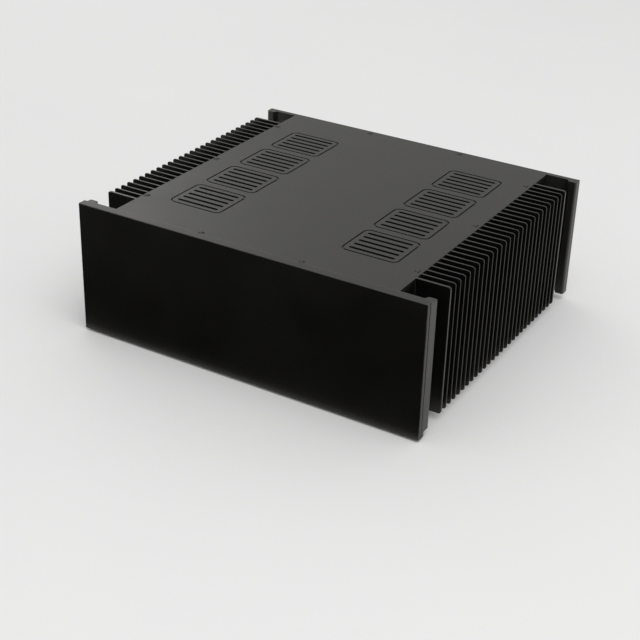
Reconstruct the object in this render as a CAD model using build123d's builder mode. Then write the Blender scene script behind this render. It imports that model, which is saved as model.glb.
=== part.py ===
from build123d import *
import os

# Amplifier chassis: an empty aluminium case with a finned heatsink along each side.
# X runs to the right seen from the front, Y to the rear and Z up. The origin lies on the
# ground, at the middle of the case. All sizes are in millimetres.

# Overall sizes
case_width = 430
body_depth = 380
body_height = 146
foot_height = 8.5

# Front panel
panel_thickness = 10
panel_rise = 3
panel_drop = 6
panel_edge_break = 0.5
end_groove_width = 2
panel_hole_depth = 7

# Sheet parts
cover_thickness = 3
plate_thickness = 3
fit_gap = 0.2

# Corner columns
column_width = 50
column_thickness = 6
flange_width = 10
lip_width = 11
lip_rise = 5
lip_round = 2.4
lip_hollow = 2.5
column_hole_inset = 24

# Heatsinks
base_thickness = 10
base_setback = 0.5
fin_count = 28
fin_root = 2.2
fin_tip = 1.5
fin_tip_round = 0.5
end_fin = 3
fin_setback = 0.8
fin_corner = 3
root_round = 1
bare_length = 34

# Cover vents
vent_width = 68
vent_length = 59
vent_row_pitch = 68.5
vent_rows = 4
bottom_vent_rows = 2
bottom_vent_pitch = 137
vent_columns_apart = 220
slot_count = 5
slot_width = 4
slot_end_inset = 7
slot_row_inset = 9.3
engraving_width = 2
engraving_depth = 1.2
engraving_corner = 8

# Rails and corner angles
rail_size = 8
rail_end_gap = 1
angle_leg = 20
angle_thickness = 3
angle_end_gap = 2

# Mains inlet
inlet_width = 27
inlet_height = 19.8
inlet_corner = 2
inlet_rise = 103
inlet_screw_spacing = 40
inlet_screw_diameter = 3.3

# Screws that hold the sheets, columns and angles
screw_diameter = 3
screw_head = 5.8
countersink_angle = 90
screw_length = 8
socket_width = 2
socket_depth = 1.2
screw_play = 0.1
head_sink = 1
seat_play = 0.05
tapped_spare = 1
side_screw_inset = 55
end_screw_spacing = 125
plate_screw_spacing = 100
upright_screw_inset = 17
angle_screw_inset = 45

# Screws that hold the front panel
cap_head = 5.5
cap_head_height = 3
cap_length = 12
cap_socket_width = 2.5
cap_socket_depth = 1.5
clearance_diameter = 3.4

# Feet
foot_diameter = 36
foot_taper = 2
foot_bevel = 1.5
foot_inset_x = 36
foot_inset_y = 45
foot_screw_diameter = 4
foot_screw_length = 12
foot_head = 8
foot_head_height = 2.6
foot_recess_depth = 5
foot_recess_diameter = 14
nut_width = 7
nut_height = 3.2

# Levels and faces that the pieces share
depth = panel_thickness + body_depth
front_face = -depth / 2
body_front = front_face + panel_thickness
rear_face = depth / 2
body_middle = (body_front + rear_face) / 2
body_bottom = foot_height
body_top = body_bottom + body_height
middle_height = (body_bottom + body_top) / 2
side_face = case_width / 2
rebate_half = side_face - column_width
base_inner = rebate_half + base_setback
cover_half = base_inner + base_thickness
inner_height = body_height - 2 * cover_thickness
angle_half = base_inner - angle_leg
rail_half = angle_half - rail_end_gap
rail_inset = plate_thickness + rail_size / 2
rail_reach = body_depth / 2 - rail_inset
rail_level = inner_height / 2 - rail_size / 2
lip_depth = column_thickness + lip_rise
base_front = body_front + column_thickness
base_rear = rear_face - column_thickness
fin_tips = side_face - fin_setback
tapped_radius = screw_diameter / 2 + screw_play / 2
screw_hole_radius = screw_diameter / 2 + screw_play
countersink_radius = screw_head / 2 + head_sink + seat_play
screw_reach = screw_length + head_sink
sheet_tap = screw_reach - cover_thickness + tapped_spare
plate_tap = screw_reach - plate_thickness + tapped_spare
angle_tap = screw_reach - angle_thickness + tapped_spare
foot_hole_radius = foot_screw_diameter / 2 + screw_play

os.makedirs("parts", exist_ok=True)

# Screw places, as points on the face that each screw is driven from
side_screw_x = cover_half - base_thickness / 2
side_screw_reach = body_depth / 2 - side_screw_inset
upright_screw_reach = body_height / 2 - upright_screw_inset
sheet_points = []
for side in (-1, 1):
    for step in (-1, 0, 1):
        sheet_points.append((side * side_screw_x, body_middle + step * side_screw_reach))
    for end in (-1, 1):
        sheet_points.append((side * end_screw_spacing / 2, body_middle + end * rail_reach))

plate_screw_x = rebate_half - flange_width / 2
plate_points = []
for side in (-1, 1):
    for step in (-1, 0, 1):
        plate_points.append((side * plate_screw_x, middle_height + step * upright_screw_reach))
    for level in (-1, 1):
        plate_points.append((side * plate_screw_spacing / 2, middle_height + level * rail_level))

angle_screw_reach = body_depth / 2 - column_thickness - (angle_leg + angle_thickness) / 2
angle_screw_z = [body_bottom + angle_screw_inset, body_top - angle_screw_inset]
column_hole_x = side_face - column_hole_inset
column_hole_z = [middle_height + step * upright_screw_reach for step in (-1, 0, 1)]
foot_x = base_inner - foot_inset_x
foot_reach = body_depth / 2 - foot_inset_y
foot_points = [(side * foot_x, body_middle + end * foot_reach) for end in (-1, 1) for side in (-1, 1)]

# Front panel: a thick plate with its outer edges broken and a V groove down each end face
with BuildPart() as front_panel:
    with BuildSketch(Plane.XZ.offset(-front_face)):
        with Locations((0, (body_bottom - panel_drop + body_top + panel_rise) / 2)):
            Rectangle(case_width, body_height + panel_rise + panel_drop)
    extrude(amount=-panel_thickness)
    front_edges = front_panel.faces().sort_by(Axis.Y)[0].edges()
    chamfer(front_edges + front_panel.edges().filter_by(Axis.Y), length=panel_edge_break)
    with BuildSketch(Plane.XY.offset(body_bottom - panel_drop)):
        with Locations(
            (side_face, front_face + panel_thickness / 2),
            (-side_face, front_face + panel_thickness / 2),
        ):
            Rectangle(end_groove_width / 2**0.5, end_groove_width / 2**0.5, rotation=45)
    extrude(amount=body_height + panel_rise + panel_drop, mode=Mode.SUBTRACT)
    with BuildSketch(Plane.XZ.offset(-body_front)):
        with Locations(*[(side * column_hole_x, z) for side in (-1, 1) for z in column_hole_z]):
            Circle(tapped_radius)
    extrude(amount=panel_hole_depth, mode=Mode.SUBTRACT)
front_panel.part.label = "front_panel"
export_step(front_panel.part, "parts/front_panel.step")

# Corner columns: one upright section used four times. A face plate carries a rounded lip
# at its outer end and a flange, set back by the end plate's thickness, at its inner end.
for end_name, end in (("front", -1), ("rear", 1)):
    for side_name, side in (("left", -1), ("right", 1)):
        face = body_middle + end * body_depth / 2

        def at(inset, back):
            return (side * (side_face - inset), face - end * back)

        with BuildPart() as column:
            with BuildSketch(Plane.XY.offset(body_bottom)) as column_section:
                with BuildLine():
                    Polyline(
                        at(0, 0),
                        at(column_width, 0),
                        at(column_width, plate_thickness),
                        at(column_width + flange_width, plate_thickness),
                        at(column_width + flange_width, column_thickness),
                        at(lip_width, column_thickness),
                        at(lip_width, lip_depth),
                        at(0, lip_depth),
                        close=True,
                    )
                make_face()
                hollow = column_section.vertices().sort_by_distance((*at(lip_width, column_thickness), 0))
                fillet(hollow[0], radius=lip_hollow)
                lip_back = column_section.vertices().sort_by_distance((*at(lip_width / 2, lip_depth), 0))
                fillet(lip_back[0:2], radius=lip_round)
            extrude(amount=body_height)
            # Notches over and under the inner part, where the cover and bottom plate lie
            with BuildSketch(Plane.XZ.offset(-face)):
                with Locations(
                    (side * (cover_half + fit_gap) / 2, body_top - cover_thickness / 2),
                    (side * (cover_half + fit_gap) / 2, body_bottom + cover_thickness / 2),
                ):
                    Rectangle(cover_half + fit_gap, cover_thickness)
            extrude(amount=end * lip_depth, mode=Mode.SUBTRACT)
            with BuildSketch(Plane.XZ.offset(-face)):
                with Locations(*[(side * column_hole_x, z) for z in column_hole_z]):
                    Circle(clearance_diameter / 2)
                with Locations(*[(side * plate_screw_x, z) for z in column_hole_z]):
                    Circle(screw_hole_radius)
            extrude(amount=end * lip_depth, mode=Mode.SUBTRACT)
        column.part.label = f"{end_name}_{side_name}_column"
        export_step(column.part, f"parts/{end_name}_{side_name}_column.step")

# Heatsinks: each is one extrusion, a base as long as the gap between the columns with
# tapered fins over its middle, and a thicker fin at both ends of the row
first_fin = base_front + bare_length + end_fin / 2
last_fin = base_rear - bare_length - end_fin / 2
fin_pitch = (last_fin - first_fin) / (fin_count - 1)

for side_name, side in (("left", -1), ("right", 1)):
    with BuildPart() as heatsink:
        with BuildSketch(Plane.XY.offset(body_bottom)) as heatsink_section:
            with Locations((side * (base_inner + base_thickness / 2), body_middle)):
                Rectangle(base_thickness, base_rear - base_front)
            for number in range(fin_count):
                fin_y = first_fin + number * fin_pitch
                root = end_fin if number in (0, fin_count - 1) else fin_root
                tip = end_fin if number in (0, fin_count - 1) else fin_tip
                with BuildLine():
                    Polyline(
                        (side * cover_half, fin_y - root / 2),
                        (side * fin_tips, fin_y - tip / 2),
                        (side * fin_tips, fin_y + tip / 2),
                        (side * cover_half, fin_y + root / 2),
                        close=True,
                    )
                make_face()
            fins = heatsink_section.vertices().filter_by_position(
                Axis.Y, base_front + bare_length / 2, base_rear - bare_length / 2
            )
            roots = fins.filter_by(lambda corner: abs(abs(corner.X) - cover_half) < fin_tip / 2)
            fillet(roots, radius=root_round)
            tips = heatsink_section.vertices().filter_by(lambda corner: abs(corner.X) > fin_tips - fin_tip / 2)
            fillet(tips, radius=fin_tip_round)
        extrude(amount=body_height)
        # The outer corners of all the fins are rounded in one pass
        with BuildSketch(Plane.XZ.offset(-base_front)) as outline:
            with Locations((side * (base_inner + fin_tips) / 2, middle_height)):
                Rectangle(fin_tips - base_inner, body_height)
            outer = outline.vertices().sort_by(Axis.X, reverse=(side > 0))[0:2]
            fillet(outer, radius=fin_corner)
        extrude(amount=-(base_rear - base_front), mode=Mode.INTERSECT)
        # Rebates along the base, above and below, for the edges of cover and bottom plate
        with BuildSketch(Plane.XZ.offset(-base_front)):
            with Locations(
                (side * (cover_half + fit_gap) / 2, body_top - cover_thickness / 2),
                (side * (cover_half + fit_gap) / 2, body_bottom + cover_thickness / 2),
            ):
                Rectangle(cover_half + fit_gap, cover_thickness)
        extrude(amount=-(base_rear - base_front), mode=Mode.SUBTRACT)
        side_points = [(x, y) for x, y in sheet_points if abs(x) == side_screw_x and x * side > 0]
        for level in (-1, 1):
            with BuildSketch(Plane.XY.offset(middle_height + level * inner_height / 2)):
                with Locations(*side_points):
                    Circle(tapped_radius)
            extrude(amount=-level * sheet_tap, mode=Mode.SUBTRACT)
        with BuildSketch(Plane.YZ.offset(side * base_inner)):
            with Locations(*[
                (body_middle + end * angle_screw_reach, z) for end in (-1, 1) for z in angle_screw_z
            ]):
                Circle(tapped_radius)
        extrude(amount=side * angle_tap, mode=Mode.SUBTRACT)
    heatsink.part.label = f"{side_name}_heatsink"
    export_step(heatsink.part, f"parts/{side_name}_heatsink.step")

# Top cover: a flat sheet with ventilation slots, each group inside an engraved rounded line
sheet_length = body_depth - fit_gap
sheet_middle = rear_face - sheet_length / 2
slot_length = vent_width - 2 * slot_end_inset
slot_pitch = (vent_length - 2 * slot_row_inset) / (slot_count - 1)

with BuildPart() as top_cover:
    with BuildSketch(Plane.XY.offset(body_top)):
        with Locations((0, sheet_middle)):
            Rectangle(2 * cover_half, sheet_length)
    extrude(amount=-cover_thickness)
    with BuildSketch(Plane.XY.offset(body_top)):
        with Locations((0, body_middle)):
            with GridLocations(vent_columns_apart, vent_row_pitch, 2, vent_rows):
                with GridLocations(0, slot_pitch, 1, slot_count):
                    SlotOverall(slot_length, slot_width)
    extrude(amount=-cover_thickness, mode=Mode.SUBTRACT)
    with BuildSketch(Plane.XY.offset(body_top)):
        with Locations((0, body_middle)):
            with GridLocations(vent_columns_apart, vent_row_pitch, 2, vent_rows):
                RectangleRounded(vent_width, vent_length, engraving_corner)
                RectangleRounded(
                    vent_width - 2 * engraving_width,
                    vent_length - 2 * engraving_width,
                    engraving_corner - engraving_width,
                    mode=Mode.SUBTRACT,
                )
    extrude(amount=-engraving_depth, mode=Mode.SUBTRACT)
    with Locations(*[Plane(origin=(x, y, body_top)) for x, y in sheet_points]):
        CounterSinkHole(screw_hole_radius, countersink_radius, counter_sink_angle=countersink_angle)
top_cover.part.label = "top_cover"
export_step(top_cover.part, "parts/top_cover.step")

# Bottom plate: the same sheet with fewer slots, and a hole for each foot
with BuildPart() as bottom_plate:
    with BuildSketch(Plane.XY.offset(body_bottom)):
        with Locations((0, sheet_middle)):
            Rectangle(2 * cover_half, sheet_length)
        with Locations((0, body_middle)):
            with GridLocations(vent_columns_apart, bottom_vent_pitch, 2, bottom_vent_rows):
                with GridLocations(0, slot_pitch, 1, slot_count):
                    SlotOverall(slot_length, slot_width, mode=Mode.SUBTRACT)
        with Locations(*foot_points):
            Circle(foot_hole_radius, mode=Mode.SUBTRACT)
    extrude(amount=cover_thickness)
    with Locations(*[Plane(origin=(x, y, body_bottom), z_dir=(0, 0, -1)) for x, y in sheet_points]):
        CounterSinkHole(screw_hole_radius, countersink_radius, counter_sink_angle=countersink_angle)
bottom_plate.part.label = "bottom_plate"
export_step(bottom_plate.part, "parts/bottom_plate.step")

# End plates: they close the case between the columns, and only the rear one is pierced
# for the mains inlet
for plate_name, end in (("front_inner_plate", -1), ("rear_plate", 1)):
    face = body_middle + end * body_depth / 2
    with BuildPart() as plate:
        with BuildSketch(Plane.XZ.offset(-face)):
            with Locations((0, middle_height)):
                Rectangle(2 * (rebate_half - fit_gap), inner_height)
            if plate_name == "rear_plate":
                with Locations((0, body_bottom + inlet_rise)):
                    RectangleRounded(inlet_width, inlet_height, inlet_corner, mode=Mode.SUBTRACT)
                    with GridLocations(inlet_screw_spacing, 0, 2, 1):
                        Circle(inlet_screw_diameter / 2, mode=Mode.SUBTRACT)
        extrude(amount=end * plate_thickness)
        with Locations(*[Plane(origin=(x, face, z), z_dir=(0, end, 0)) for x, z in plate_points]):
            CounterSinkHole(screw_hole_radius, countersink_radius, counter_sink_angle=countersink_angle)
    plate.part.label = plate_name
    export_step(plate.part, f"parts/{plate_name}.step")

# Rails: square bars behind the end plates, tapped for their screws and for those of the
# cover or the bottom plate
for end_name, end in (("front", -1), ("rear", 1)):
    for level_name, level in (("bottom", -1), ("top", 1)):
        rail_y = body_middle + end * rail_reach
        rail_z = middle_height + level * rail_level
        with BuildPart() as rail:
            with BuildSketch(Plane.YZ.offset(-rail_half)):
                with Locations((rail_y, rail_z)):
                    Rectangle(rail_size, rail_size)
            extrude(amount=2 * rail_half)
            with BuildSketch(Plane.XY.offset(rail_z + level * rail_size / 2)):
                with Locations((0, rail_y)):
                    with GridLocations(end_screw_spacing, 0, 2, 1):
                        Circle(tapped_radius)
            extrude(amount=-level * sheet_tap, mode=Mode.SUBTRACT)
            with BuildSketch(Plane.XZ.offset(-rail_y - end * rail_size / 2)):
                with Locations((0, rail_z)):
                    with GridLocations(plate_screw_spacing, 0, 2, 1):
                        Circle(tapped_radius)
            extrude(amount=end * plate_tap, mode=Mode.SUBTRACT)
        rail.part.label = f"{end_name}_{level_name}_rail"
        export_step(rail.part, f"parts/{end_name}_{level_name}_rail.step")

# Corner angles: upright angle bars inside the case. One leg lies behind the column's
# flange, under the end plate's screws, and the other is screwed to the heatsink's base.
angle_height = inner_height - 2 * angle_end_gap
for end_name, end in (("front", -1), ("rear", 1)):
    for side_name, side in (("left", -1), ("right", 1)):
        back = body_middle + end * (body_depth / 2 - column_thickness)

        def inside(inset, away):
            return (side * (base_inner - inset), back - end * away)

        with BuildPart() as angle:
            with BuildSketch(Plane.XY.offset(middle_height - angle_height / 2)) as angle_section:
                with BuildLine():
                    Polyline(
                        inside(0, 0),
                        inside(angle_leg, 0),
                        inside(angle_leg, angle_thickness),
                        inside(angle_thickness, angle_thickness),
                        inside(angle_thickness, angle_leg),
                        inside(0, angle_leg),
                        close=True,
                    )
                make_face()
            extrude(amount=angle_height)
            with BuildSketch(Plane.XZ.offset(-back)):
                with Locations(*[(side * plate_screw_x, z) for z in column_hole_z]):
                    Circle(tapped_radius)
            extrude(amount=end * angle_thickness, mode=Mode.SUBTRACT)
            with Locations(*[
                Plane(
                    origin=(side * (base_inner - angle_thickness), body_middle + end * angle_screw_reach, z),
                    z_dir=(-side, 0, 0),
                )
                for z in angle_screw_z
            ]):
                CounterSinkHole(screw_hole_radius, countersink_radius, counter_sink_angle=countersink_angle)
        angle.part.label = f"{end_name}_{side_name}_angle"
        export_step(angle.part, f"parts/{end_name}_{side_name}_angle.step")

# Feet: round moulded feet with a recess below for the head of their screw
foot_names = ("front_left_foot", "front_right_foot", "rear_left_foot", "rear_right_foot")
for foot_name, (x, y) in zip(foot_names, foot_points):
    with BuildPart() as foot:
        with BuildSketch(Plane.XZ.offset(-y)) as foot_section:
            with BuildLine():
                Polyline(
                    (x + foot_recess_diameter / 2, 0),
                    (x + foot_diameter / 2 - foot_taper, 0),
                    (x + foot_diameter / 2, foot_height),
                    (x + foot_hole_radius, foot_height),
                    (x + foot_hole_radius, foot_recess_depth),
                    (x + foot_recess_diameter / 2, foot_recess_depth),
                    close=True,
                )
            make_face()
            ground_corner = foot_section.vertices().group_by(Axis.Y)[0].sort_by(Axis.X)[-1]
            chamfer(ground_corner, length=foot_bevel)
        revolve(axis=Axis((x, y, 0), (0, 0, 1)))
    foot.part.label = foot_name
    export_step(foot.part, f"parts/{foot_name}.step")

# One screw of each kind is made about the origin, its head upwards and the face that it
# is driven into at zero, and copied to its places. A countersunk head lies a little below.
with BuildPart() as countersunk_screw:
    with BuildSketch(Plane.XZ):
        with BuildLine():
            Polyline(
                (0, -head_sink),
                (screw_head / 2, -head_sink),
                (screw_diameter / 2, -head_sink - (screw_head - screw_diameter) / 2),
                (screw_diameter / 2, -screw_reach),
                (0, -screw_reach),
                close=True,
            )
        make_face()
    revolve(axis=Axis.Z)
    with BuildSketch(Plane.XY.offset(-head_sink)):
        RegularPolygon(socket_width / 2, 6, major_radius=False)
    extrude(amount=-socket_depth, mode=Mode.SUBTRACT)

with BuildPart() as cap_screw:
    with BuildSketch():
        Circle(cap_head / 2)
    extrude(amount=cap_head_height)
    with BuildSketch():
        Circle(screw_diameter / 2)
    extrude(amount=-cap_length)
    with BuildSketch(Plane.XY.offset(cap_head_height)):
        RegularPolygon(cap_socket_width / 2, 6, major_radius=False)
    extrude(amount=-cap_socket_depth, mode=Mode.SUBTRACT)

with BuildPart() as foot_screw:
    with BuildSketch():
        Circle(foot_head / 2)
    extrude(amount=foot_head_height)
    with BuildSketch():
        Circle(foot_screw_diameter / 2)
    extrude(amount=-foot_screw_length)
    with BuildSketch(Plane.XY.offset(foot_head_height)):
        RegularPolygon(cap_socket_width / 2, 6, major_radius=False)
    extrude(amount=-cap_socket_depth, mode=Mode.SUBTRACT)

with BuildPart() as foot_nut:
    with BuildSketch():
        RegularPolygon(nut_width / 2, 6, major_radius=False)
        Circle(foot_screw_diameter / 2, mode=Mode.SUBTRACT)
    extrude(amount=nut_height)

front_face_screws = [Plane(origin=(x, body_front, z), z_dir=(0, -1, 0)) for x, z in plate_points]
rear_face_screws = [Plane(origin=(x, rear_face, z), z_dir=(0, 1, 0)) for x, z in plate_points]
panel_screws = [
    Plane(origin=(side * column_hole_x, body_front + column_thickness, z), z_dir=(0, 1, 0))
    for side in (-1, 1)
    for z in column_hole_z
]
angle_screws = [
    Plane(
        origin=(side * (base_inner - angle_thickness), body_middle + end * angle_screw_reach, z),
        z_dir=(-side, 0, 0),
    )
    for end in (-1, 1)
    for side in (-1, 1)
    for z in angle_screw_z
]
screw_groups = (
    ("cover_screws", countersunk_screw, [Plane(origin=(x, y, body_top)) for x, y in sheet_points]),
    (
        "bottom_screws",
        countersunk_screw,
        [Plane(origin=(x, y, body_bottom), z_dir=(0, 0, -1)) for x, y in sheet_points],
    ),
    ("front_plate_screws", countersunk_screw, front_face_screws),
    ("rear_plate_screws", countersunk_screw, rear_face_screws),
    ("angle_screws", countersunk_screw, angle_screws),
    ("front_panel_screws", cap_screw, panel_screws),
    (
        "foot_screws",
        foot_screw,
        [Plane(origin=(x, y, foot_recess_depth), z_dir=(0, 0, -1)) for x, y in foot_points],
    ),
    (
        "foot_nuts",
        foot_nut,
        [Plane(origin=(x, y, body_bottom + cover_thickness)) for x, y in foot_points],
    ),
)
for group_name, pattern, places in screw_groups:
    with BuildPart() as group:
        with Locations(*[place.location for place in places]):
            add(pattern.part)
    group.part.label = group_name
    export_step(group.part, f"parts/{group_name}.step")
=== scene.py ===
# %% [markdown]
# # A black anodised amplifier chassis
#
# This lesson dresses a finished CAD model of an empty amplifier case: a thick plain front
# panel, a finned heatsink along each side, four corner columns, thin plates between them and
# a slotted cover. The shapes are done, so the work here is the finish of each surface, the
# light that shows it, and the camera.
#
# The model comes in as a fixed frame, in metres, with each piece as an object of its own. Its
# box is kept from the start, and its size is printed.

# %% Load the CAD model
import math

import bpy
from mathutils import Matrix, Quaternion, Vector


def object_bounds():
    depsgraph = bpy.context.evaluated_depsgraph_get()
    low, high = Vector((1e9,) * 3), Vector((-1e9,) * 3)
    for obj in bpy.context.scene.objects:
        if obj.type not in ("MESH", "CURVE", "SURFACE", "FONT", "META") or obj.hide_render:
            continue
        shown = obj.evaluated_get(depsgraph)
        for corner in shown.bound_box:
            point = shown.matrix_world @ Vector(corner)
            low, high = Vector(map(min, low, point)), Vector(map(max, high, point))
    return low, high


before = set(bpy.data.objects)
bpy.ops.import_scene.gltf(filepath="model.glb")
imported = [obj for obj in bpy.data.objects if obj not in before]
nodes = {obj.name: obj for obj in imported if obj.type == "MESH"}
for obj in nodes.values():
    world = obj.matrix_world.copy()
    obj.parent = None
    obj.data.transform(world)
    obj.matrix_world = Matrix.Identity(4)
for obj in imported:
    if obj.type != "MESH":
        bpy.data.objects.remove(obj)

cad_low, cad_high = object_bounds()
size_mm = [round(1000 * (high - low), 1) for low, high in zip(cad_low, cad_high)]
print("pieces:", len(nodes), "size in mm:", size_mm)

# %% [markdown]
# ## Colours and nodes
#
# Paint charts and photo editors give colours as sRGB hex values, while Blender's sockets want
# linear light. One function turns the first into the second, so every colour in the file can
# be read as a hex value.
#
# A material is a tree of nodes. It could be wired by hand in the shader editor, but a script
# can be read and run again. One small function adds a node, sets its values and links its
# inputs, which keeps each material short enough to take in at one look.

# %% Helpers for every material
MM = 0.001


def linear(hex_colour):
    """The linear RGBA of an sRGB colour such as "1A1A1B"."""
    values = []
    for start in (0, 2, 4):
        share = int(hex_colour[start:start + 2], 16) / 255
        values.append(share / 12.92 if share <= 0.04045 else ((share + 0.055) / 1.055) ** 2.4)
    return (*values, 1.0)


def add_node(tree, kind, settings=None, **inputs):
    """Adds a node. Each input is a value, or another node's output socket to link from."""
    node = tree.nodes.new(kind)
    for name, value in (settings or {}).items():
        setattr(node, name, value)
    for name, value in inputs.items():
        socket = node.inputs[int(name[1:]) if name[0] == "_" else name.replace("_", " ")]
        if isinstance(value, bpy.types.NodeSocket):
            tree.links.new(value, socket)
        else:
            socket.default_value = value
    return node


def new_material(name):
    """A node material with an empty tree."""
    material = bpy.data.materials.new(name)
    material.use_nodes = True
    material.node_tree.nodes.clear()
    return material, material.node_tree


print("mid grey 808080 is", round(linear("808080")[0], 3), "in linear light")

# %% [markdown]
# ## Black anodised aluminium
#
# Anodising grows a clear oxide on aluminium and fills it with black dye. Light that gets in is
# swallowed, so the metal below hardly shows. What the eye sees is the oxide's own pale, soft
# reflection, weak when a surface is seen straight on and strong at a low angle. That is a
# dielectric and not a bare metal, so it is not metallic, nearly black, and moderately rough.
# The refractive index of the sealed oxide is about 1.6, and the shader's Fresnel term does the
# rest: the cover turns grey where the room glances off it, and the front stays black.
#
# Every piece of the model lies in one frame, so object coordinates are real distances. The
# grain under the oxide is a noise whose cells measure a given number of millimetres along
# each axis: equal for blasted metal, drawn out along one axis for brushed or extruded metal.
# The real grit and lines are about 0.1 mm wide, too fine to show from here, so the grit is
# drawn six times as coarse, the die's lines eight times and the brush lines ten times. The dye
# is a little paler where the grain stands up, and a second, wide noise makes it uneven, as it
# is on large parts. A noise node's values lie mostly between 0.3 and 0.7, so that is the range
# that the other values are spread over.
#
# A sharp CAD edge has no width and catches no light. A real one is broken by a fraction of a
# millimetre, and shows as a thin bright line. The Bevel node bends the shading normal there,
# which does the same without any change to the mesh. Where the bent normal leaves the surface's
# own one, there is an edge, and there the colour is also paled: a painted highlight along the
# edge. Only the thick panel and the columns get it, so the other finishes give the edge the same
# colour as the paler dye.

# %% One recipe for the dyed oxide
OXIDE_IOR = 1.6
OXIDE_TINT = "FFFBF4"
DYE_CLOUD = 80 * MM
NOISE_LOW, NOISE_HIGH = 0.3, 0.7
DYE_LOW, DYE_HIGH = 0.75, 1.25  # of two noises added up
GRAIN_SHEEN, CLOUD_SHEEN = 0.05, 0.02  # how far each noise moves the roughness
BEVEL_SAMPLES = 6
# Where the painted edge highlight starts and where it is full:
EDGE_STARTS, EDGE_FULL = 0.99, 0.9  # cosine between the bent normal and the surface's own


def anodised(name, dark, light, highlight_grey, grain_mm, roughness, relief, edge_break):
    """Black anodised aluminium over metal whose grain measures grain_mm along X, Y and Z."""
    material, tree = new_material(name)
    place = add_node(tree, "ShaderNodeTexCoord").outputs["Object"]
    grain_place = add_node(
        tree, "ShaderNodeMapping", Vector=place, Scale=[1 / (side * MM) for side in grain_mm]
    ).outputs["Vector"]
    grain = add_node(tree, "ShaderNodeTexNoise", Vector=grain_place, Scale=1.0, Detail=2.0)
    cloud = add_node(tree, "ShaderNodeTexNoise", Vector=place, Scale=1 / DYE_CLOUD, Detail=2.0)
    uneven = add_node(
        tree, "ShaderNodeMath", {"operation": "ADD"},
        _0=cloud.outputs["Fac"], _1=grain.outputs["Fac"],
    )
    dye = add_node(
        tree, "ShaderNodeMapRange",
        Value=uneven.outputs[0], From_Min=DYE_LOW, From_Max=DYE_HIGH,
    )
    dyed = add_node(
        tree, "ShaderNodeMix", {"data_type": "RGBA"},
        _0=dye.outputs["Result"], _6=linear(dark), _7=linear(light),
    )
    edge = add_node(tree, "ShaderNodeBevel", {"samples": BEVEL_SAMPLES}, Radius=edge_break)
    own_side = add_node(tree, "ShaderNodeNewGeometry")
    agreement = add_node(
        tree, "ShaderNodeVectorMath", {"operation": "DOT_PRODUCT"},
        _0=edge.outputs["Normal"], _1=own_side.outputs["Normal"],
    )
    # Painted highlight: along edges the colour is paled towards the given edge grey, standing in
    # for the bright lines that broken edges catch.
    painted_edge_highlight = add_node(
        tree, "ShaderNodeMapRange", Value=agreement.outputs["Value"],
        From_Min=EDGE_STARTS, From_Max=EDGE_FULL,
    )
    colour = add_node(
        tree, "ShaderNodeMix", {"data_type": "RGBA"},
        _0=painted_edge_highlight.outputs["Result"], _6=dyed.outputs[2], _7=linear(highlight_grey),
    )
    fine_sheen = add_node(
        tree, "ShaderNodeMapRange",
        Value=grain.outputs["Fac"], From_Min=NOISE_LOW, From_Max=NOISE_HIGH,
        To_Min=roughness - GRAIN_SHEEN, To_Max=roughness + GRAIN_SHEEN,
    )
    wide_sheen = add_node(
        tree, "ShaderNodeMapRange",
        Value=cloud.outputs["Fac"], From_Min=NOISE_LOW, From_Max=NOISE_HIGH,
        To_Min=-CLOUD_SHEEN, To_Max=CLOUD_SHEEN,
    )
    sheen = add_node(
        tree, "ShaderNodeMath", {"operation": "ADD"},
        _0=fine_sheen.outputs["Result"], _1=wide_sheen.outputs["Result"],
    )
    bump = add_node(
        tree, "ShaderNodeBump",
        Height=grain.outputs["Fac"], Distance=relief, Normal=edge.outputs["Normal"],
    )
    surface = add_node(
        tree, "ShaderNodeBsdfPrincipled",
        Base_Color=colour.outputs[2], Roughness=sheen.outputs[0], Normal=bump.outputs["Normal"],
        IOR=OXIDE_IOR, Specular_Tint=linear(OXIDE_TINT),
    )
    add_node(tree, "ShaderNodeOutputMaterial", Surface=surface.outputs["BSDF"])
    return material


straight_on = ((OXIDE_IOR - 1) / (OXIDE_IOR + 1)) ** 2
print("share of light mirrored by a surface seen straight on:", round(straight_on, 3))

# %% [markdown]
# ## Five surfaces under the same dye
#
# The same bath colours every black piece, and only the metal under it differs. The thick
# front panel and the sheets are blasted, which gives an even satin. The columns are brushed
# upright and the rear plate is brushed level, which leaves fine lines. The heatsinks come out
# of a die, which draws faint lines along their height.

# %% The five black finishes
BLASTED = (0.6, 0.6, 0.6)
BRUSHED_UPRIGHT = (1.0, 1.0, 80.0)
BRUSHED_LEVEL = (80.0, 1.0, 1.0)
EXTRUDED_UPRIGHT = (0.8, 0.8, 200.0)

# The panel and the columns get a much paler edge grey, a painted highlight along their edges; the
# other finishes use their paler dye colour there.
anodised_panel = anodised(
    "blasted_anodised_panel", dark="060605", light="0E0E0C", highlight_grey="8A8A86",
    grain_mm=BLASTED, roughness=0.42, relief=0.012 * MM, edge_break=0.4 * MM,
)
anodised_sheet = anodised(
    "blasted_anodised_sheet", dark="080807", light="171715", highlight_grey="171715",
    grain_mm=BLASTED, roughness=0.42, relief=0.012 * MM, edge_break=0.1 * MM,
)
anodised_column = anodised(
    "brushed_anodised_column", dark="050505", light="272725", highlight_grey="4A4A48",
    grain_mm=BRUSHED_UPRIGHT, roughness=0.42, relief=0.08 * MM, edge_break=0.4 * MM,
)
anodised_plate = anodised(
    "brushed_anodised_plate", dark="050505", light="272725", highlight_grey="272725",
    grain_mm=BRUSHED_LEVEL, roughness=0.42, relief=0.08 * MM, edge_break=0.1 * MM,
)
anodised_heatsink = anodised(
    "extruded_anodised_heatsink", dark="060606", light="0B0B0A", highlight_grey="0B0B0A",
    grain_mm=EXTRUDED_UPRIGHT, roughness=0.34, relief=0.012 * MM, edge_break=0.5 * MM,
)
print("black finishes:", [m.name for m in bpy.data.materials if "anodised" in m.name])

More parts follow.
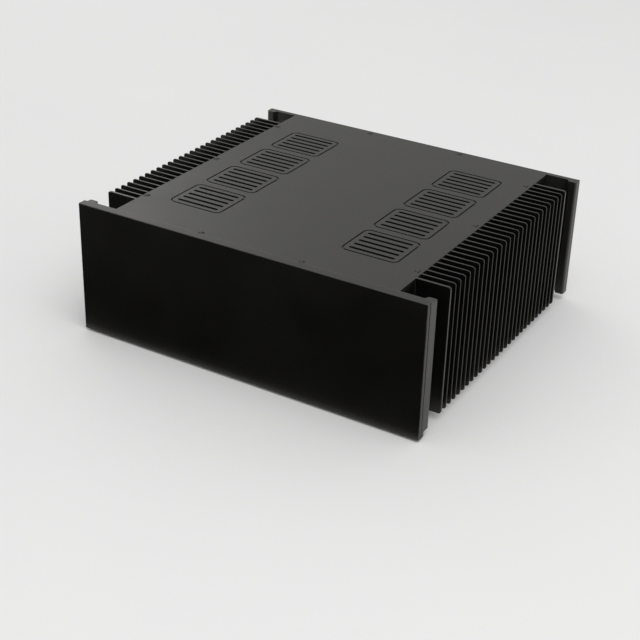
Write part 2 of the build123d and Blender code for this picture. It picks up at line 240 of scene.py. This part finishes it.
# %% [markdown]
# ## Plain aluminium for the bars inside
#
# The four rails and the four corner angles lie inside the case, where nobody pays for dye.
# They are mill finish: the extruded surface as it left the die, dull and silvery, with lines
# along the bar. This one is a true metal, so it is metallic with a pale colour, and its index
# of refraction stays as it is. The rails run along X and the angles along Z, and so do the
# lines, which are drawn a few times as wide as real ones.

# %% Mill-finish aluminium
MILL_GREY = "BDBEC0"
MILL_SMOOTH, MILL_ROUGH = 0.3, 0.46
MILL_RELIEF = 0.006 * MM
LINES_ALONG_X = (200.0, 0.6, 0.6)
LINES_ALONG_Z = (0.6, 0.6, 200.0)


def mill_finish(name, grain_mm):
    """Extruded aluminium as it left the die, with lines along the long side of the grain."""
    material, tree = new_material(name)
    place = add_node(tree, "ShaderNodeTexCoord").outputs["Object"]
    line_place = add_node(
        tree, "ShaderNodeMapping", Vector=place, Scale=[1 / (side * MM) for side in grain_mm]
    ).outputs["Vector"]
    lines = add_node(tree, "ShaderNodeTexNoise", Vector=line_place, Scale=1.0, Detail=3.0)
    sheen = add_node(
        tree, "ShaderNodeMapRange",
        Value=lines.outputs["Fac"], From_Min=NOISE_LOW, From_Max=NOISE_HIGH,
        To_Min=MILL_SMOOTH, To_Max=MILL_ROUGH,
    )
    bump = add_node(tree, "ShaderNodeBump", Height=lines.outputs["Fac"], Distance=MILL_RELIEF)
    surface = add_node(
        tree, "ShaderNodeBsdfPrincipled", Base_Color=linear(MILL_GREY), Metallic=1.0,
        Roughness=sheen.outputs["Result"], Normal=bump.outputs["Normal"],
    )
    add_node(tree, "ShaderNodeOutputMaterial", Surface=surface.outputs["BSDF"])
    return material


rail_aluminium = mill_finish("mill_finish_rail", LINES_ALONG_X)
angle_aluminium = mill_finish("mill_finish_angle", LINES_ALONG_Z)
print("plain finishes:", rail_aluminium.name, angle_aluminium.name)

# %% [markdown]
# ## Screws of blackened steel, nuts of zinc
#
# The screws are steel with a black oxide skin. It grows on the bare metal in a hot salt bath
# and mirrors about a ninth of the light, so the heads look like dark metal beside the dyed
# aluminium, a little blotchy from the bath. The foot nuts are plated with zinc, which is
# bright, slightly blue and blotchy in larger patches.
#
# Both are metals with a patchy roughness, so one recipe with a colour, a patch size and two
# roughness values makes both.

# %% Blackened and zinc-plated steel
SKIN_RELIEF = 0.01 * MM


def plated_steel(name, hex_colour, patch, smooth, rough):
    """Steel under a thin metallic skin, patchy at the given size."""
    material, tree = new_material(name)
    place = add_node(tree, "ShaderNodeTexCoord").outputs["Object"]
    patches = add_node(tree, "ShaderNodeTexNoise", Vector=place, Scale=1 / patch, Detail=3.0)
    sheen = add_node(
        tree, "ShaderNodeMapRange",
        Value=patches.outputs["Fac"], From_Min=NOISE_LOW, From_Max=NOISE_HIGH,
        To_Min=smooth, To_Max=rough,
    )
    bump = add_node(tree, "ShaderNodeBump", Height=patches.outputs["Fac"], Distance=SKIN_RELIEF)
    surface = add_node(
        tree, "ShaderNodeBsdfPrincipled", Base_Color=linear(hex_colour), Metallic=1.0,
        Roughness=sheen.outputs["Result"], Normal=bump.outputs["Normal"],
    )
    add_node(tree, "ShaderNodeOutputMaterial", Surface=surface.outputs["BSDF"])
    return material


black_oxide_steel = plated_steel(
    "black_oxide_steel", "5E5E5D", patch=0.6 * MM, smooth=0.34, rough=0.48
)
zinc_plated_steel = plated_steel(
    "zinc_plated_steel", "C4C7CB", patch=1.2 * MM, smooth=0.24, rough=0.4
)
print("steel finishes:", black_oxide_steel.name, zinc_plated_steel.name)

# %% [markdown]
# ## Rubber feet
#
# The feet are moulded in black rubber. The mould's sparked surface leaves a fine pebble, and
# rubber scatters what little it reflects, so it looks flat and dusty next to the metal. The
# pebble is a Voronoi pattern of about half a millimetre, used as relief.

# %% Moulded rubber
RUBBER_PEBBLE = 0.5 * MM
PEBBLE_RELIEF = 0.03 * MM
DUST_PATCH = 6 * MM
RUBBER_ROUGHNESS = 0.82
RUBBER_IOR = 1.52

moulded_rubber, tree = new_material("moulded_rubber")
place = add_node(tree, "ShaderNodeTexCoord").outputs["Object"]
pebble = add_node(tree, "ShaderNodeTexVoronoi", Vector=place, Scale=1 / RUBBER_PEBBLE)
dust = add_node(tree, "ShaderNodeTexNoise", Vector=place, Scale=1 / DUST_PATCH, Detail=4.0)
colour = add_node(
    tree, "ShaderNodeMix", {"data_type": "RGBA"},
    _0=dust.outputs["Fac"], _6=linear("121212"), _7=linear("1E1E1D"),
)
bump = add_node(
    tree, "ShaderNodeBump", Height=pebble.outputs["Distance"], Distance=PEBBLE_RELIEF
)
surface = add_node(
    tree, "ShaderNodeBsdfPrincipled", Base_Color=colour.outputs[2],
    Roughness=RUBBER_ROUGHNESS, IOR=RUBBER_IOR, Normal=bump.outputs["Normal"],
)
add_node(tree, "ShaderNodeOutputMaterial", Surface=surface.outputs["BSDF"])
print("rubber pebble in mm:", RUBBER_PEBBLE / MM)

# %% [markdown]
# ## Each piece gets its finish
#
# Only the material in each CAD piece's slot is changed here. A table of names is easier to check
# than a row of assignments, and pieces that come in fours share one line. The last line shows
# that no piece was forgotten.

# %% Hand out the finishes
CORNERS = ("front_left", "front_right", "rear_left", "rear_right")
finishes = {
    "front_panel": anodised_panel,
    "top_cover": anodised_sheet,
    "bottom_plate": anodised_sheet,
    "front_inner_plate": anodised_sheet,
    "rear_plate": anodised_plate,
    "left_heatsink": anodised_heatsink,
    "right_heatsink": anodised_heatsink,
    "foot_nuts": zinc_plated_steel,
}
for corner in CORNERS:
    finishes[f"{corner}_column"] = anodised_column
    finishes[f"{corner}_angle"] = angle_aluminium
    finishes[f"{corner}_foot"] = moulded_rubber
for end in ("front", "rear"):
    for level in ("top", "bottom"):
        finishes[f"{end}_{level}_rail"] = rail_aluminium
for group in ("cover", "bottom", "front_plate", "rear_plate", "angle", "front_panel", "foot"):
    finishes[f"{group}_screws"] = black_oxide_steel

for name, material in finishes.items():
    nodes[name].data.materials.clear()
    nodes[name].data.materials.append(material)
print("finished:", len(finishes), "left plain:", sorted(set(nodes) - set(finishes)))

# %% [markdown]
# ## A floor of pale paper
#
# The case stands on one wide sheet of pale paper, as in a product photographer's studio. A
# curved backdrop would do as well, but from this camera only the floor shows, and a flat sheet
# gives clean reflections. Paper is matt, so it is a plain diffuse surface, and a faint noise
# keeps it from looking like a computed colour.

# %% The floor
FLOOR_HALF = 12.0
PULP_CLOUD = 300 * MM

floor_mesh = bpy.data.meshes.new("floor")
corners = [(x * FLOOR_HALF, y * FLOOR_HALF, 0) for x, y in ((-1, -1), (1, -1), (1, 1), (-1, 1))]
floor_mesh.from_pydata(corners, [], [(0, 1, 2, 3)])
floor = bpy.data.objects.new("floor", floor_mesh)
bpy.context.scene.collection.objects.link(floor)

paper, tree = new_material("pale_paper")
place = add_node(tree, "ShaderNodeTexCoord").outputs["Object"]
pulp = add_node(tree, "ShaderNodeTexNoise", Vector=place, Scale=1 / PULP_CLOUD, Detail=3.0)
tone = add_node(
    tree, "ShaderNodeMix", {"data_type": "RGBA"},
    _0=pulp.outputs["Fac"], _6=linear("EDEDED"), _7=linear("F1F1F0"),
)
surface = add_node(tree, "ShaderNodeBsdfDiffuse", Color=tone.outputs[2])
add_node(tree, "ShaderNodeOutputMaterial", Surface=surface.outputs["BSDF"])
floor_mesh.materials.append(paper)
print("floor side in m:", 2 * FLOOR_HALF)

# %% [markdown]
# ## The light of the room
#
# Most of the light comes from the room itself: pale walls all round, the same in every
# direction and for every ray, so nothing is lit from a hidden place. On top of that come two
# softboxes. One hangs high on the right and gives the paper its glow and the case its soft
# shadow. The other stands far behind on the left, low enough for the cover to mirror it: its
# blurred image is the brighter grey near the front left of the cover. Together they light a
# level surface with about as much as a white one sends back, so each colour looks as written.

# %% The room and two softboxes
ROOM_STRENGTH = 0.64

world = bpy.data.worlds.new("studio")
bpy.context.scene.world = world
world.use_nodes = True
world.node_tree.nodes.clear()
room = add_node(
    world.node_tree, "ShaderNodeBackground", Color=(1.0, 1.0, 1.0, 1.0), Strength=ROOM_STRENGTH
)
add_node(world.node_tree, "ShaderNodeOutputWorld", Surface=room.outputs["Background"])


def softbox(name, place, aim, width, height, watts):
    """A soft rectangular lamp at place, facing aim."""
    lamp = bpy.data.lights.new(name, "AREA")
    lamp.shape = "RECTANGLE"
    lamp.size = width
    lamp.size_y = height
    lamp.energy = watts
    holder = bpy.data.objects.new(name, lamp)
    holder.location = place
    holder.rotation_euler = (Vector(aim) - Vector(place)).to_track_quat("-Z", "Y").to_euler()
    bpy.context.scene.collection.objects.link(holder)
    print(name, "stands", round((Vector(aim) - Vector(place)).length, 2), "m from its aim")


softbox(
    "overhead_right", place=(1.7, -1.0, 3.4), aim=(0.6, -0.4, 0.0), width=3.0, height=3.0, watts=58
)
softbox(
    "rear_left", place=(-2.4, 1.6, 1.35), aim=(0.0, 0.0, 0.1), width=1.6, height=1.4, watts=8.5
)

# %% [markdown]
# ## Black cards in front
#
# A black satin panel shows its surroundings more than its own colour, and pale paper in front
# of it would turn it grey. Photographers hold a black card, a flag, where the panel mirrors
# it. Here one lies in front of the case and one stands beyond the camera. A real card would
# be cut out of the picture afterwards. These are hidden from the camera, cast no shadow and
# darken nothing but reflections. They end nearer on the left, so the panel's left end mirrors
# a little of the paper beyond them and is a shade paler.

# %% Two flags that only reflections meet
black_card, tree = new_material("black_card")
surface = add_node(tree, "ShaderNodeBsdfDiffuse", Color=linear("0B0B0A"))
add_node(tree, "ShaderNodeOutputMaterial", Surface=surface.outputs["BSDF"])


def flag(name, corners):
    """A black card with four corners, which only reflections see."""
    mesh = bpy.data.meshes.new(name)
    mesh.from_pydata(corners, [], [(0, 1, 2, 3)])
    mesh.materials.append(black_card)
    card = bpy.data.objects.new(name, mesh)
    bpy.context.scene.collection.objects.link(card)
    card.visible_camera = False
    card.visible_diffuse = False
    card.visible_transmission = False
    card.visible_shadow = False
    print(name, "is", round((mesh.vertices[1].co - mesh.vertices[0].co).length, 2), "m wide")


FLAG_LEFT, FLAG_RIGHT = -0.8, 1.6
LYING_FROM = cad_low.y - 7 * MM
LYING_TO = cad_low.y - 1.9
LYING_RISE = 2 * MM
STANDING_AT = cad_low.y - 2.0
STANDING_TOP = 2.2

flag("lying_flag", [
    (FLAG_LEFT, LYING_FROM, LYING_RISE), (FLAG_RIGHT, LYING_FROM, LYING_RISE),
    (FLAG_RIGHT, LYING_TO, LYING_RISE), (FLAG_LEFT, LYING_TO, LYING_RISE),
])
flag("standing_flag", [
    (FLAG_LEFT, STANDING_AT, 0.0), (FLAG_RIGHT, STANDING_AT, 0.0),
    (FLAG_RIGHT, STANDING_AT, STANDING_TOP), (FLAG_LEFT, STANDING_AT, STANDING_TOP),
])

# %% [markdown]
# ## The camera
#
# The photograph was taken from above and to the right of the front, with a fairly long lens.
# The angles, the place and the focal length below come from matching the case's corners and
# screw holes to their places in the picture. A camera could be aimed with a constraint, but
# three angles and a place say exactly what was found. Depth of field stays off.

# %% The camera
AZIMUTH, ELEVATION, ROLL = 30.239, 28.128, 1.828
PLACE = (0.7093, -1.2477, 0.7569)
FOCAL_PIXELS = 1366.4
FRAME_PIXELS = 640
SENSOR_MM = 36.0

lens = bpy.data.cameras.new("camera")
lens.sensor_width = SENSOR_MM
lens.lens = lens.sensor_width * FOCAL_PIXELS / FRAME_PIXELS
camera = bpy.data.objects.new("camera", lens)
around, above = math.radians(AZIMUTH), math.radians(ELEVATION)
back = Vector((
    math.sin(around) * math.cos(above), -math.cos(around) * math.cos(above), math.sin(above)
))
roll = Quaternion((0, 0, 1), math.radians(ROLL))
camera.rotation_mode = "QUATERNION"
camera.rotation_quaternion = back.to_track_quat("Z", "Y") @ roll
camera.location = PLACE
bpy.context.scene.collection.objects.link(camera)
bpy.context.scene.camera = camera
print("lens in mm:", round(lens.lens, 1), "distance in m:", round(camera.location.length, 2))

# %% [markdown]
# ## Close the scene
#
# Standard view transform shows colours as they are, with no film curve. Only the surfaces of
# the model were changed.

# %% View transform and the end
bpy.context.scene.view_settings.view_transform = "Standard"
